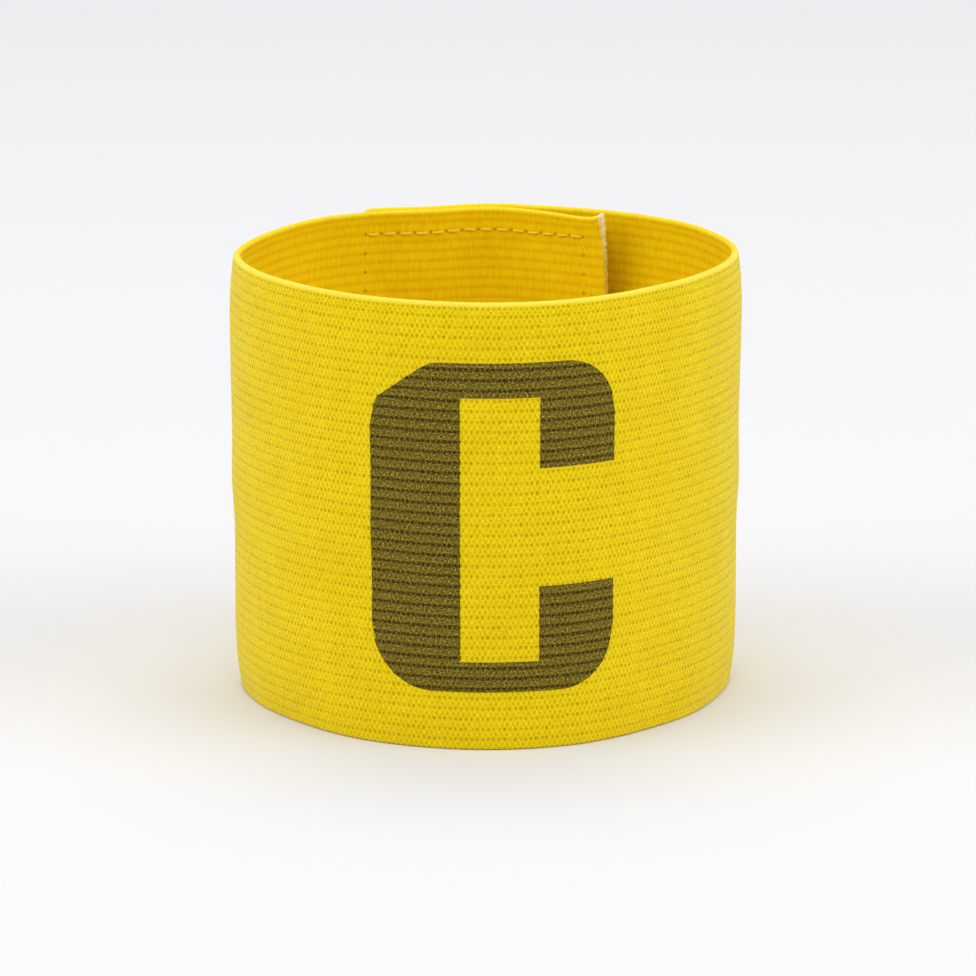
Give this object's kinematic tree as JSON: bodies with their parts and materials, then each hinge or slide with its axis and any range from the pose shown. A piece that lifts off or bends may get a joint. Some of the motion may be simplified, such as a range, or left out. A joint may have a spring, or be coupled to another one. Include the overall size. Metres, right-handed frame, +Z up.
{
  "type": "captain armband",
  "caption": "Wide loop of ribbed elastic worn round the upper arm, its ends lapped on hook-and-loop tape at the back, with a plain block letter C on the front.",
  "frame": {"origin": "under the middle of the whole loop, on the surface that its lower edge stands on", "axes": "+Z up along the loop's axis, -Y towards the front with the letter, +X to the letter's right"},
  "size_m": [0.0982, 0.1006, 0.085],
  "materials": {
    "elastic": "ribbed knit, matt",
    "hook_tape": "nylon hooks, slight sheen",
    "loop_tape": "brushed nylon loops, matt",
    "print_ink": "screen-printed ink on knit, matt"
  },
  "bodies": {
    "root": {"elastic_band": "elastic", "hook_patch": "hook_tape", "loop_patch": "loop_tape", "letter_print": "print_ink"}
  },
  "joints": []
}
